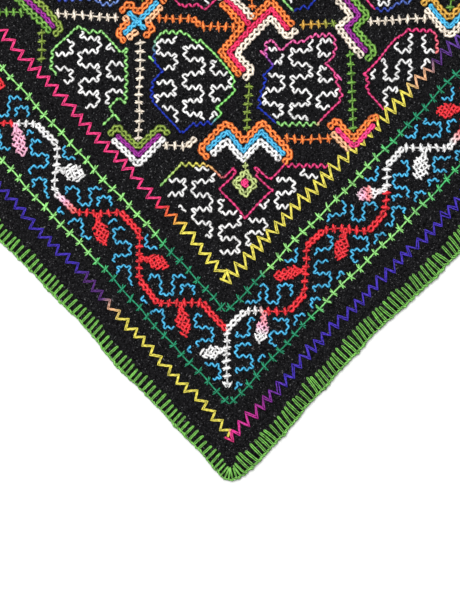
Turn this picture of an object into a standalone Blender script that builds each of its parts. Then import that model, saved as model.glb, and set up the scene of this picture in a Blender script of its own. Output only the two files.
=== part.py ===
"""A square embroidered cloth of black cotton, lying flat, with a green blanket-stitched edge.

The frame: the cloth lies on z = 0 with its face up (+Z) and its middle over the origin. Its sides run along
X and Y, but for the pull on the bias, which draws the corners at -X-Y and +X+Y a little further out.
Everything is in metres.
"""

import math

import bmesh
import bpy

# The whole cloth, over the yarn of its edge.
SIDE = 0.500
CORNER_RADIUS = 0.0075
BIAS_PULL = 0.0288  # share by which the -X-Y to +X+Y diagonal is longer than a true square's

# The edging is one skin of yarn that laps the cloth on its face, its edge and its back.
YARN_THICK = 0.0006
SEAT_GAP = 0.0003  # between the cloth and the yarn round it
LEG_LENGTH = 0.0085  # how far a stitch reaches in from the edge
EDGE_ROUND = 0.0007  # the rounding of the edging's outer side

# The ground cloth.
CLOTH_THICK = 0.0012
EDGE_LIFT = YARN_THICK + SEAT_GAP  # the cloth's edge lies on the stitches of its back
LIFT_STARTS = 0.017  # how far in from the side the cloth starts to rise
LIFT_ENDS = LEG_LENGTH + 0.0006
MIDDLE_SPANS = 18  # grid spans between the two lifted borders

# The edging's run: how many stations a side and a rounded corner have.
SIDE_STATIONS = 36
CORNER_STATIONS = 6

# The sides aren't dead straight. Each wave: (size outward, length, where its crest is), along the side
# from its first corner, going round from the -X side.
SIDE_WAVES = {
    "west": ((0.0007, 0.088, 0.076), (0.0004, 0.240, 0.190)),
    "south": ((0.0011, 0.138, 0.022), (0.0003, 0.310, 0.260)),
    "east": ((0.0008, 0.150, 0.060), (0.0005, 0.270, 0.330)),
    "north": ((0.0006, 0.100, 0.110), (0.0006, 0.230, 0.300)),
}
WAVE_REACH = 0.045  # how far in from the side a wave is felt
STRAIGHT_CORNER = 0.022  # a side's waves fade out this near its corners


def smooth_step(share):
    """0 to 1 with level ends."""
    share = min(max(share, 0.0), 1.0)
    return share * share * (3 - 2 * share)


def side_wave(side, along):
    """How far the side stands out at this place, counted from its first corner."""
    fade = smooth_step(along / STRAIGHT_CORNER) * smooth_step((SIDE - along) / STRAIGHT_CORNER)
    waves = sum(
        size * math.cos(2 * math.pi * (along - crest) / length)
        for size, length, crest in SIDE_WAVES[side]
    )
    return fade * waves


def lie(x, y):
    """Where a point of the true square ends up on the cloth as it lies, waves and pull included."""
    half = SIDE / 2

    def felt(distance):
        return math.exp(-max(distance, 0.0) / WAVE_REACH)

    moved_x = x + felt(half - x) * side_wave("east", y + half) - felt(half + x) * side_wave("west", y + half)
    moved_y = y + felt(half - y) * side_wave("north", x + half) - felt(half + y) * side_wave("south", x + half)
    along = (moved_x + moved_y) / 2 * (1 + BIAS_PULL)
    across = (moved_x - moved_y) / 2 * (1 - BIAS_PULL)
    return along + across, along - across


def make_material(name, colour, roughness):
    """A plain material of one colour."""
    material = bpy.data.materials.new(name)
    material.use_nodes = True
    shader = material.node_tree.nodes["Principled BSDF"]
    shader.inputs["Base Color"].default_value = (*colour, 1.0)
    shader.inputs["Roughness"].default_value = roughness
    shader.inputs["Metallic"].default_value = 0.0
    return material


def add_object(name, mesh_data, material, collection):
    """Puts a finished bmesh in the scene as a named object."""
    mesh = bpy.data.meshes.new(name)
    mesh_data.to_mesh(mesh)
    mesh_data.free()
    mesh.materials.append(material)
    mesh.shade_smooth()
    mesh.set_sharp_from_angle(angle=math.radians(40))
    made = bpy.data.objects.new(name, mesh)
    collection.objects.link(made)
    return made


def thicken(made, thickness, offset):
    """Gives an open surface its thickness: offset 1 adds it along the faces' normals, -1 against them."""
    wall = made.modifiers.new("thickness", "SOLIDIFY")
    wall.thickness = thickness
    wall.offset = offset
    wall.use_even_offset = False


def grid_lines(half):
    """The places of the grid's lines, closer together where the cloth lifts towards its side."""
    border = [0.0, LIFT_ENDS, LIFT_STARTS]
    inner_half = half - LIFT_STARTS
    middle = [-inner_half + 2 * inner_half * i / MIDDLE_SPANS for i in range(1, MIDDLE_SPANS)]
    return [d - half for d in border] + middle + [half - d for d in reversed(border)]


def make_ground_cloth(collection, material):
    """The black cotton sheet: flat on the surface, its border lifted on to the stitches of its back."""
    edge_inset = YARN_THICK + SEAT_GAP
    half = SIDE / 2 - edge_inset
    lines = grid_lines(half)
    spans = len(lines) - 1
    sheet = bmesh.new()
    bmesh.ops.create_grid(sheet, x_segments=spans, y_segments=spans, size=0.5)
    for vert in sheet.verts:
        column = round((vert.co.x + 0.5) * spans)
        row = round((vert.co.y + 0.5) * spans)
        vert.co.x = lines[column]
        vert.co.y = lines[row]
    corners = [v for v in sheet.verts if abs(v.co.x) > half - 1e-6 and abs(v.co.y) > half - 1e-6]
    bmesh.ops.bevel(
        sheet,
        geom=corners,
        offset=CORNER_RADIUS - edge_inset,
        offset_type="OFFSET",
        segments=5,
        profile=0.5,
        affect="VERTICES",
        material=-1,
    )
    for vert in sheet.verts:
        inset = half - max(abs(vert.co.x), abs(vert.co.y))
        rise = smooth_step((LIFT_STARTS - inset) / (LIFT_STARTS - LIFT_ENDS))
        x, y = lie(vert.co.x, vert.co.y)
        vert.co = (x, y, EDGE_LIFT * rise)
    cloth = add_object("ground_cloth", sheet, material, collection)
    thicken(cloth, CLOTH_THICK, 1.0)
    return cloth


def outline(inset):
    """The points round the cloth this far in from its outer side, counter-clockwise, as it lies."""
    half = SIDE / 2 - inset
    radius = max(CORNER_RADIUS - inset, 0.0)
    straight = half - radius
    points = []
    for quarter in range(4):
        turn = math.radians(90 * quarter)
        side_run = [(-straight + 2 * straight * i / SIDE_STATIONS, -half) for i in range(SIDE_STATIONS)]
        corner_run = []
        for i in range(CORNER_STATIONS):
            angle = math.radians(90 * i / CORNER_STATIONS)
            corner_run.append((straight + radius * math.sin(angle), -straight - radius * math.cos(angle)))
        for x, y in side_run + corner_run:
            turned_x = x * math.cos(turn) - y * math.sin(turn)
            turned_y = x * math.sin(turn) + y * math.cos(turn)
            points.append(lie(turned_x, turned_y))
    return points


def make_blanket_edging(collection, material):
    """The yarn that wraps the edge: an outline drawn over a U section, open towards the cloth's middle."""
    top = 2 * YARN_THICK + 2 * SEAT_GAP + CLOTH_THICK
    section = (
        (LEG_LENGTH, top),
        (EDGE_ROUND, top),
        (0.0, top - EDGE_ROUND),
        (0.0, EDGE_ROUND),
        (EDGE_ROUND, 0.0),
        (LEG_LENGTH, 0.0),
    )
    strip = bmesh.new()
    inset, height = section[0]
    loop = [strip.verts.new((x, y, height)) for x, y in outline(inset)]
    edges = [strip.edges.new(pair) for pair in zip(loop, loop[1:] + loop[:1])]
    for inset, height in section[1:]:
        drawn = bmesh.ops.extrude_edge_only(strip, edges=edges)["geom"]
        edges = [item for item in drawn if isinstance(item, bmesh.types.BMEdge)]
        verts = [item for item in drawn if isinstance(item, bmesh.types.BMVert)]
        for vert, (x, y) in zip(verts, outline(inset)):
            vert.co = (x, y, height)
    bmesh.ops.remove_doubles(strip, verts=strip.verts, dist=1e-6)
    bmesh.ops.recalc_face_normals(strip, faces=strip.faces)
    edging = add_object("blanket_edging", strip, material, collection)
    thicken(edging, YARN_THICK, -1.0)
    return edging


def main():
    for old in list(bpy.data.objects):
        bpy.data.objects.remove(old)
    collection = bpy.data.collections.new("embroidered_cloth")
    bpy.context.scene.collection.children.link(collection)
    black_cotton = make_material("black_cotton", (0.012, 0.012, 0.014), 0.9)
    green_yarn = make_material("green_yarn", (0.10, 0.36, 0.05), 0.75)
    make_ground_cloth(collection, black_cotton)
    make_blanket_edging(collection, green_yarn)


main()
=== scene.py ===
"""The looks of a square embroidered cloth: black cotton, stitched all over in coloured yarn.

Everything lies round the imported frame. The needlework is laid out in millimetres from the corner at
-X-Y, with that corner pointing down: a runs to the right and b up. The borders are worked for one quarter
and mirrored about the cloth's two mid-lines, and the field is one lattice over the whole cloth.
"""

import heapq
import math
import re
from collections import namedtuple

import bmesh
import bpy
import numpy as np
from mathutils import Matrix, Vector


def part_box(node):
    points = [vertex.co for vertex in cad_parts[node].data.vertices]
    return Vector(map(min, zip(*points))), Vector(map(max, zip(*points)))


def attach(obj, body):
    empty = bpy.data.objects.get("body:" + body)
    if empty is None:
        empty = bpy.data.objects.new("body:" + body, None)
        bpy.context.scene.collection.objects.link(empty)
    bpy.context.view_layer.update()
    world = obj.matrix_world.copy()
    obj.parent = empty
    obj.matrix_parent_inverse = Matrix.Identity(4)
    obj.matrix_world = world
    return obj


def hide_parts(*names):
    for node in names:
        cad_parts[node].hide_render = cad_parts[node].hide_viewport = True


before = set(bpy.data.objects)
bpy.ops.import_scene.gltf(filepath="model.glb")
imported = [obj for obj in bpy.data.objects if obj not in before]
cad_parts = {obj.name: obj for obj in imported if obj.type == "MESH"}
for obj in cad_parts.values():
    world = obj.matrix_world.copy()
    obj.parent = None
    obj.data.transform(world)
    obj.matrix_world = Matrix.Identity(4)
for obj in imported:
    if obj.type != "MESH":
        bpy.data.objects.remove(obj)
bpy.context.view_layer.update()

# ---------------------------------------------------------------- sizes

MM = 0.001
CLOTH_LOW, CLOTH_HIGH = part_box("ground_cloth")

SIDE = 0.500  # the square as it was cut, over the yarn of its edge
BIAS_PULL = 0.0288  # share by which the -X-Y to +X+Y diagonal is longer than a true square's
CORNER_RADIUS = 0.0075
# The waves of each side: how far each one stands out, its length, and where its first crest is.
SIDE_WAVES = {
    "west": ((0.0007, 0.088, 0.076), (0.0004, 0.240, 0.190)),
    "south": ((0.0011, 0.138, 0.022), (0.0003, 0.310, 0.260)),
    "east": ((0.0008, 0.150, 0.060), (0.0005, 0.270, 0.330)),
    "north": ((0.0006, 0.100, 0.110), (0.0006, 0.230, 0.300)),
}
WAVE_REACH = 0.045  # how far into the cloth a side's waves are felt
STRAIGHT_CORNER = 0.022  # the waves die out towards the corners within this

CLOTH_THICK = 0.0012
EDGE_LIFT = CLOTH_HIGH[2] - CLOTH_LOW[2] - CLOTH_THICK  # the cloth rises on to the yarn of its back
LIFT_STARTS = 0.017  # how far in from the edge it starts to rise
LIFT_ENDS = 0.0091
PUCKER = 0.00030  # the stitching draws the cloth into shallow swells
PUCKER_STARTS = 0.006  # in from the edge
PUCKER_FADE = 0.02
DRIFT = 0.00042  # how far the needlework wanders off its even places

HALF_WAY = SIDE / MM / math.sqrt(2)  # from the corner to the middle of the cloth, in mm

# ---------------------------------------------------------------- where the cloth lies


def smooth_step(share):
    """0 to 1 with level ends."""
    share = np.clip(share, 0.0, 1.0)
    return share * share * (3 - 2 * share)


def side_wave(side, along):
    """How far the side stands out at these places, counted from its first corner."""
    fade = smooth_step(along / STRAIGHT_CORNER) * smooth_step((SIDE - along) / STRAIGHT_CORNER)
    waves = sum(
        size * np.cos(2 * math.pi * (along - crest) / length)
        for size, length, crest in SIDE_WAVES[side]
    )
    return fade * waves


def lie(x, y):
    """Where points of the true square end up on the cloth as it lies."""
    half = SIDE / 2

    def felt(distance):
        """The share of a side's wave that is felt this far from it."""
        return np.exp(-np.maximum(distance, 0.0) / WAVE_REACH)

    east, west = (side_wave(side, y + half) for side in ("east", "west"))
    north, south = (side_wave(side, x + half) for side in ("north", "south"))
    moved_x = x + felt(half - x) * east - felt(half + x) * west
    moved_y = y + felt(half - y) * north - felt(half + y) * south
    along = (moved_x + moved_y) / 2 * (1 + BIAS_PULL)
    across = (moved_x - moved_y) / 2 * (1 - BIAS_PULL)
    return along + across, along - across


def cloth_back(x, y):
    """The height of the cloth's back at points of the true square."""
    inset = SIDE / 2 - np.maximum(np.abs(x), np.abs(y))
    lift = EDGE_LIFT * smooth_step((LIFT_STARTS - inset) / (LIFT_STARTS - LIFT_ENDS))
    swell = (
        np.sin(x * 151 + 2 * np.sin(y * 67)) * np.sin(y * 139 + 1.7 * np.sin(x * 83))
        + 0.5 * np.sin((x + y) * 233 + 1.3) * np.sin((x - y) * 197)
    )
    middle = smooth_step((inset - PUCKER_STARTS) / PUCKER_FADE)
    return lift + PUCKER * middle * (0.5 + swell / 3)


def on_cloth(points, flip_x, flip_y):
    """Points (a, b, height over the face, all mm) in the frame, in metres, turned over to one quarter."""
    a, b, height = points.T * MM
    x = flip_x * ((b + a) / math.sqrt(2) - SIDE / 2)
    y = flip_y * ((b - a) / math.sqrt(2) - SIDE / 2)
    drift_x = DRIFT * np.sin(x * 190 + 2 * np.sin(y * 140))
    drift_y = DRIFT * np.sin(y * 205 + 2 * np.sin(x * 120))
    z = cloth_back(x, y) + CLOTH_THICK + height
    x, y = lie(x + drift_x, y + drift_y)
    return np.column_stack((x, y, z))


# ---------------------------------------------------------------- yarn colours

DYES = {
    "white": "f4f3f2",
    "cream": "f1e4d2",
    "cyan": "3fb2e0",
    "edge green": "72bd4a",
    "light green": "97e57c",
    "bright green": "86e86c",
    "mid green": "41bd68",
    "deep green": "158a5e",
    "olive": "7f9a35",
    "leaf green": "6aa33a",
    "pale olive": "b7c77a",
    "yellow": "f3e656",
    "mustard": "d9a53c",
    "peach": "f7bd8c",
    "orange": "f57f33",
    "red": "ea2630",
    "crimson": "e01f52",
    "salmon": "fa7f7c",
    "hot pink": "f4337e",
    "magenta": "e82896",
    "pink": "f565b2",
    "pale pink": "f7b4cf",
    "purple": "8c1b88",
    "plum": "4f1c76",
    "violet": "6b42bf",
    "indigo": "3620b2",
    "blue": "0923b0",
    "sky": "7fa9ee",
}


def dye(name):
    """A yarn's colour as linear red, green and blue."""
    shares = np.array([int(DYES[name][i : i + 2], 16) / 255 for i in (0, 2, 4)])
    return np.where(shares <= 0.04045, shares / 12.92, ((shares + 0.055) / 1.055) ** 2.4)


def dyed(run, along):
    """The colour along a yarn. A run is one name, or pairs of a distance in mm and a name."""
    if isinstance(run, str):
        return np.tile(dye(run), (len(along), 1))
    places = [place for place, _ in run]
    shades = np.array([dye(name) for _, name in run])
    return np.column_stack([np.interp(along, places, shades[:, i]) for i in range(3)])


# ---------------------------------------------------------------- lines

# One yarn, in mm: rows of (a, b, height over the face), a thickness and a linear colour for each.
Strand = namedtuple("Strand", "points thick colour")
chance = np.random.default_rng(7)


def route(start, moves):
    """The corners of a line, in mm: "R6 RD3" is six to the right, then three right and three down."""
    ways = {"R": (1, 0), "L": (-1, 0), "U": (0, 1), "D": (0, -1)}
    points = [np.array(start, float)]
    for letters, count in re.findall(r"([RLUD]+)([\d.]+)", moves):
        way = np.sum([ways[letter] for letter in letters], axis=0)
        points.append(points[-1] + way * float(count))
    return np.array(points)


def distances(points):
    """How far along the line each of its points is."""
    return np.concatenate(([0.0], np.cumsum(np.linalg.norm(np.diff(points, axis=0), axis=1))))


def even(points, gap):
    """The same line with its points about this far apart."""
    along = distances(points)
    count = max(2, round(along[-1] / gap) + 1)
    places = np.linspace(0, along[-1], count)
    return np.column_stack([np.interp(places, along, column) for column in points.T])


def soften(points, rounds):
    """Rounds a finely divided line's corners."""
    soft = points.copy()
    for _ in range(rounds):
        soft[1:-1] = (soft[:-2] + 2 * soft[1:-1] + soft[2:]) / 4
    return soft


def point_at(line, along, place):
    """The point of a line at this distance along it."""
    return np.array([np.interp(place, along, column) for column in line.T])


def turned_left(ways):
    """One direction, or a row of them, turned a quarter to the left."""
    return np.stack((-ways[..., 1], ways[..., 0]), axis=-1)


def left_of(points):
    """The unit vector to the left of the line at each point."""
    ahead = np.gradient(points, axis=0)
    ahead /= np.linalg.norm(ahead, axis=1, keepdims=True) + 1e-9
    return turned_left(ahead)


def beside(points, offset):
    """The line moved to its left by this many mm, one value or one for each point."""
    return points + left_of(points) * np.reshape(offset, (-1, 1))


def spread_along(corners, gap=0.5):
    """Points close together along a line with sharp corners."""
    parts = [even(np.array(pair), gap)[:-1] for pair in zip(corners, corners[1:])]
    return np.concatenate(parts + [np.array(corners[-1:])])


def moved_aside(corners, offset):
    """A line with sharp corners moved to its left, its corners still sharp."""
    ahead = np.diff(corners, axis=0)
    ahead /= np.linalg.norm(ahead, axis=1, keepdims=True)
    side = turned_left(ahead)
    before = np.vstack((side[:1], side))
    after = np.vstack((side, side[-1:]))
    share = 1 + np.sum(before * after, axis=1, keepdims=True)
    return corners + offset * (before + after) / share


def true_stretches(kept):
    """Where each unbroken stretch of true values starts, and where it has ended."""
    edges = np.flatnonzero(np.diff(np.concatenate(([0], kept.astype(int), [0]))))
    return list(zip(edges[::2], edges[1::2]))


DEEPEST_DIP = 0.62  # a yarn's end goes into the cloth, and doesn't come out of its back


def strand(flat_points, thick, run, height=None, along=None, dip=True):
    """One yarn on the cloth. Its ends dip into the cloth, where the needle went."""
    along = distances(flat_points) if along is None else along
    count = len(flat_points)
    thick = np.broadcast_to(np.asarray(thick, float), count).copy()
    rise = 0.30 * thick if height is None else np.broadcast_to(np.asarray(height, float), count).copy()
    if dip:
        rise[[0, -1]] = -np.minimum(0.7 * thick, DEEPEST_DIP)[[0, -1]]
        thick[[0, -1]] *= 0.6
    colour = dyed(run, along) * chance.uniform(0.92, 1.06)
    return Strand(np.column_stack((flat_points, rise)), thick, colour)


# ---------------------------------------------------------------- stitches


def uprightness(points):
    """1 where a line runs straight up, down or across, 0 where it runs aslant."""
    side = left_of(points)
    return smooth_step((np.abs(side[:, 0] ** 2 - side[:, 1] ** 2) - 0.35) / 0.45)


WANDER = 3.1  # the length over which the beat of the waves comes and goes
COUCHING_GAP = 2.5  # from one tying stitch to the next on a couched yarn


def swaying_line(corners, run, thick, sway, beat=3.75, beading_and_shade=0.0):
    """Yarn couched in small waves where it runs upright or across, and straight where it runs aslant."""
    line = soften(even(corners, 0.35), 5)
    along = distances(line)
    turn = 2 * math.pi * along / beat + chance.uniform(0, 1.5)
    turn += 0.5 * np.sin(along / WANDER + chance.uniform(0, 6))
    waves = sway * (np.sin(turn) - np.sin(3 * turn) / 12) * uprightness(line)
    line = even(beside(line, waves), 0.66)
    along = distances(line)
    tie_dip_and_shade = (0.5 + 0.5 * np.cos(2 * math.pi * along / COUCHING_GAP)) ** 1.4
    uneven = 1 + 0.09 * np.sin(along * 1.3 + chance.uniform(0, 6))
    places = along * (distances(corners)[-1] / along[-1])
    whole = strand(line, thick * uneven * (1 - beading_and_shade * tie_dip_and_shade), run, along=places)
    # painted shade: the yarn's colour is darkened at every tying stitch, where it dips between two lumps
    return [whole._replace(colour=whole.colour * (1 - 1.5 * beading_and_shade * tie_dip_and_shade)[:, None])]


def fishbone(corners, run, thick=1.25, pitch=4.1, reach=2.0, lean=0.1, start=0.0, star=1.0):
    """A straight yarn with a tapering one across it at every step, and in a star a shorter one aslant."""
    one, two = corners
    length = np.linalg.norm(two - one)
    ahead = (two - one) / length
    side = turned_left(ahead)
    count = max(1, round(length / pitch))
    backbone = even(corners, 0.8)
    along = distances(backbone)
    swell = -np.cos(2 * math.pi * along * count / length)
    girth = thick * (0.90 + 0.36 * star * swell)
    strands = [strand(backbone, girth, run, thick * (0.24 + 0.1 * swell), along + start)]
    shares = np.array((-1.0, 0.0, 1.0))
    for place in (np.arange(count) + 0.5) * length / count:
        ticks = [(1.0, chance.normal(0, 0.22), 0.55, 1.0 + 0.55 * star)]
        if star:
            ticks.append((0.68, chance.choice((-1, 1)) * chance.uniform(0.7, 1.1), 0.6, 1.1))
        for share, slope, tip, belly in ticks:
            spread = share * reach * chance.uniform(0.86, 1.10)
            forward = shares * slope - np.abs(shares) * share * lean * chance.uniform(0.5, 1.5)
            tick = one + ahead * place + np.outer(shares * spread, side) + np.outer(forward, ahead)
            girth = thick * np.array((tip, belly, tip))
            rise = thick * np.array((-0.2, 0.58 * share + 0.05, -0.2))
            strands.append(strand(tick, girth, run, rise, np.full(3, place + start), dip=False))
    return strands


LOOP = np.array((0.22, 0.72, 1.08, 0.80))  # how far apart a chain's two yarns stand through one loop


def chain(corners, run, width=3.9, thick=1.7, pitch=3.0, start=0.0):
    """Linked loops in a row: two yarns that part and meet, with a small dark hole in every loop."""
    line = soften(even(corners, 0.45), 2)
    count = max(1, round(distances(line)[-1] / pitch))
    line = even(line, distances(line)[-1] / count / len(LOOP))
    line[1:-1] += chance.normal(0, 0.10, line[1:-1].shape)
    along = distances(line)
    number = np.arange(len(line))
    step = number % len(LOOP)
    parting = LOOP[step] * chance.uniform(0.82, 1.16, len(line)) * (width - thick) / 2
    over = np.where(step == 0, 0.14, 0.0)
    return [
        strand(beside(line, way * parting), thick, run, thick * (0.36 + way * over), along + start)
        for way in (-1, 1)
    ]


ASLANT = 0.35  # a line that rises, or runs across, by more than this share counts as slanting


def spine(corners, run, thick, **more):
    """A connecting line: fishbone where it runs straight, a chain where it runs aslant."""
    strands = []
    start = 0.0
    for one, two in zip(corners, corners[1:]):
        run_across, run_up = np.abs(two - one)
        part = np.array((one, two))
        if min(run_across, run_up) > ASLANT * max(run_across, run_up):
            strands += chain(part, run, width=3.8, start=start)
        else:
            strands += fishbone(part, run, thick, start=start, **more)
        start += math.hypot(run_across, run_up)
    return strands


YARN_SPREAD = 0.56  # between the two yarns of a zigzag
TURN_STRAY = 0.20  # how far its turns stray from their even places


def zigzag(line, run, pitch, swing, thick, lean, loose):
    """Two yarns side by side, laid to and fro across the line, with a sharp turn at every stitch."""
    length = distances(line)[-1]
    count = round(length / pitch)
    turns = np.arange(2 * count + 1)
    places = turns * length / (2 * count)
    sways = np.where(turns % 2 == 0, 1.0, -1.0) * swing / 2
    places = places + lean * np.sign(sways) + chance.normal(0, TURN_STRAY, len(turns))
    sways = sways + chance.normal(0, TURN_STRAY, len(turns))
    ahead = (line[-1] - line[0]) / length
    side = turned_left(ahead)
    corners = line[0] + np.outer(places, ahead) + np.outer(sways, side)
    strands = []
    for way in (-1, 1):
        own = moved_aside(corners, way * YARN_SPREAD / 2) + chance.normal(0, loose, corners.shape)
        yarn = spread_along(own, 1.1)
        height = thick * (0.34 + 0.10 * np.sin(distances(yarn) * 1.7 + way))
        strands.append(strand(yarn, thick, run, height, distances(yarn) * length / distances(yarn)[-1]))
    return strands


NET_YARN = 1.35
NET_GAP = 2.55  # between the yarns of the net that run the same way


def net(base, tip, run, width):
    """A leaf of close net with ragged sides: yarns that cross aslant inside a pointed oval."""
    middle = (base + tip) / 2
    ahead = (tip - base) / 2
    half = np.linalg.norm(ahead)
    ahead /= half
    side = turned_left(ahead)
    strands = []
    for way in (-1, 1):
        places = np.arange(-half - width / 2, half + width / 2, NET_GAP) + chance.uniform(0, NET_GAP)
        for place in places + chance.normal(0, 0.25, len(places)):
            across = np.linspace(-width / 2, width / 2, 13)
            along = place + way * across
            taper = np.maximum(1 - (along / half) ** 2, 0)
            room = width / 2 * taper**0.78 * chance.uniform(0.86, 1.24)
            free = np.abs(across) <= room
            if free.sum() < 2:
                continue
            yarn = middle + np.outer(along[free], ahead) + np.outer(across[free], side)
            yarn += chance.normal(0, 0.16, yarn.shape)
            bumps = NET_YARN * (0.35 + 0.28 * way * np.sin(across[free] * 2.7 + place))
            strands.append(strand(yarn, NET_YARN, run, bumps, along[free] + half))
    return strands


# ---------------------------------------------------------------- lines along the cloth's sides

WAYS = {"left": -1, "right": 1}  # the two sides that meet in the corner, and which way each one runs


def side_line(side, inset, first, last):
    """Two points along a side of the cloth, this far in from it, counted from the corner."""
    way = np.array((WAYS[side], 1)) / math.sqrt(2)
    inward = np.array((-WAYS[side], 1)) / math.sqrt(2)
    return np.array([way * place + inward * inset for place in (first, last)])


def edge_line(inset):
    """The cloth's edge from one mid-line round the corner to the other, this far in."""
    radius = CORNER_RADIUS / MM
    left = side_line("left", inset, SIDE / 2 / MM, radius)
    right = side_line("right", inset, radius, SIDE / 2 / MM)
    turns = np.radians(np.linspace(225, 315, 9))[1:-1]
    centre = np.array((0, radius * math.sqrt(2)))
    arc = centre + (radius - inset) * np.column_stack((np.cos(turns), np.sin(turns)))
    return np.concatenate((left, arc, right))


FIRST_LEG = 1.4  # from the middle of a side to the stitches on either hand of it
EDGE_TWIST = 3.1  # the length in which the yarn along the edge goes once round
CORNER_LEG = 5.6  # the stitches are shorter and closer round the corner
CORNER_REACH = 5.5
CORNER_FADE = 7.0
# How the stitches are made on either side: pitch, length, width of the loop, how loose, thickness
LEFT_LEGS = (3.05, 6.5, 0.70, 0.18, 0.80)
RIGHT_LEGS = (2.75, 8.1, 0.88, 0.48, 0.72)
BACK_YARN = 0.75
BACK_SHORTER = 0.8  # how much shorter a stitch is on the back


def blanket_stitches():
    """Looped stitches laid over the edge side by side, and the twisted yarn that links them round it."""

    def off_corner(place):
        """0 round the corner, 1 along the straight sides."""
        return smooth_step((abs(place - corner) - CORNER_REACH) / CORNER_FADE)

    line = even(edge_line(0.5), 0.25)
    along = distances(line)
    inward = left_of(line)
    corner = along[-1] / 2
    strands = []
    for way in (0, math.pi):
        turn = 2 * math.pi * along / EDGE_TWIST + way
        aside = 0.32 * np.cos(turn) + soften(chance.normal(0, 0.55, len(along)), 6)
        cord = even(np.column_stack((beside(line, aside), 0.34 * np.sin(turn))), 0.62)
        girth = 1.0 + soften(chance.normal(0, 0.35, len(cord)), 2)
        strands.append(strand(cord[:, :2], girth, "edge green", cord[:, 2] - 0.5, dip=False))
    places = [FIRST_LEG]
    while places[-1] < along[-1] - FIRST_LEG:
        pitch = (LEFT_LEGS if places[-1] < corner else RIGHT_LEGS)[0]
        closer = 0.80 + 0.20 * off_corner(places[-1])
        places.append(places[-1] + pitch * closer * chance.uniform(0.95, 1.05))
    for place in np.array(places) * (along[-1] - FIRST_LEG) / places[-1]:
        _, length, loop, loose, thick = LEFT_LEGS if place < corner else RIGHT_LEGS
        length = CORNER_LEG + (length - CORNER_LEG) * off_corner(place)
        length *= chance.uniform(0.93 - 0.1 * loose, 1.06 + 0.15 * loose)
        root = point_at(line, along, place)
        inwards = point_at(inward, along, place)
        sideways = turned_left(inwards) * (loop * (0.5 + 0.5 * off_corner(place))) / 2
        strands += blanket_leg(root, inwards, sideways, length, chance.normal(0, loose), thick)
    return strands


def blanket_leg(root, inwards, sideways, length, slant, thick):
    """One stitch: a narrow pointed loop on the face and a single yarn on the back."""
    aside = sideways / np.linalg.norm(sideways)
    shares = np.array((0.02, 0.3, 0.68, 0.94))
    pinch = np.array((0.85, 1.0, 1.0, 0.8))[:, None]
    ahead = np.outer(shares * length, inwards) + np.outer(shares * slant, aside)
    tip = root + inwards * length + aside * slant
    near_side, far_side = (root + ahead + way * sideways * pinch for way in (1, -1))
    loop = np.concatenate((near_side, [tip], far_side[::-1]))
    near_rise = np.array((-0.15, 0.34, 0.40, 0.30))
    rise = np.concatenate((near_rise, [0.05], near_rise[::-1]))
    girth = thick * np.array((0.95, 1.0, 1.05, 1.0, 0.8, 1.0, 1.05, 1.0, 0.95))
    shade = np.repeat(chance.uniform(0.72, 1.12, 2), (5, 4))[:, None]
    face = strand(loop, girth, "edge green", rise, dip=False)
    under = root + np.outer(np.array((0.02, 0.15, 0.5, 0.85)) * (length - BACK_SHORTER), inwards)
    low = -CLOTH_THICK / MM - np.array((-0.1, 0.36, 0.38, 0.1))
    lower = strand(under, BACK_YARN, "edge green", low, dip=False)
    return [face._replace(colour=face.colour * shade), lower]


# ---------------------------------------------------------------- nodes


class Signal:
    """A node's output that adds, multiplies and compares like a number."""

    def __init__(self, tree, socket=None):
        self.tree = tree
        self.socket = socket

    def node(self, kind, settings, sockets, output=0):
        """A new node: its settings first, then the values or links of its sockets."""
        made = self.tree.nodes.new(kind)
        for key, value in settings.items():
            setattr(made, key, value)
        for name, value in sockets.items():
            if isinstance(value, Signal):
                self.tree.links.new(value.socket, made.inputs[name])
            else:
                made.inputs[name].default_value = value
        return Signal(self.tree, made.outputs[output])

    def also(self, output):
        """Another output of the same node."""
        return Signal(self.tree, self.socket.node.outputs[output])

    def math(self, operation, *values):
        """A Math node on these values."""
        return self.node("ShaderNodeMath", {"operation": operation}, dict(enumerate(values)))

    def __add__(self, other):
        return self.math("ADD", self, other)

    __radd__ = __add__

    def __sub__(self, other):
        return self.math("SUBTRACT", self, other)

    def __rsub__(self, other):
        return self.math("SUBTRACT", other, self)

    def __mul__(self, other):
        return self.math("MULTIPLY", self, other)

    __rmul__ = __mul__

    def __gt__(self, other):
        return self.math("GREATER_THAN", self, other)


# ---------------------------------------------------------------- from strands to a joined mesh

OVERLAP = 0.5  # how far a quarter's yarns run over the mid-lines
YARN_SIDES = 4
YARN_FLATNESS = 0.86  # a yarn's height over its width
QUARTERS = ((1, 1), (-1, 1), (1, -1), (-1, -1))


def kept_parts(one):
    """The parts of a strand that lie in its own quarter of the cloth."""
    a, b = one.points[:, 0], one.points[:, 1]
    in_quarter = (a + b <= HALF_WAY + OVERLAP) & (b - a <= HALF_WAY + OVERLAP)
    return [
        Strand(*(values[first:last] for values in one))
        for first, last in true_stretches(in_quarter)
        if last - first > 1
    ]


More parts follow.
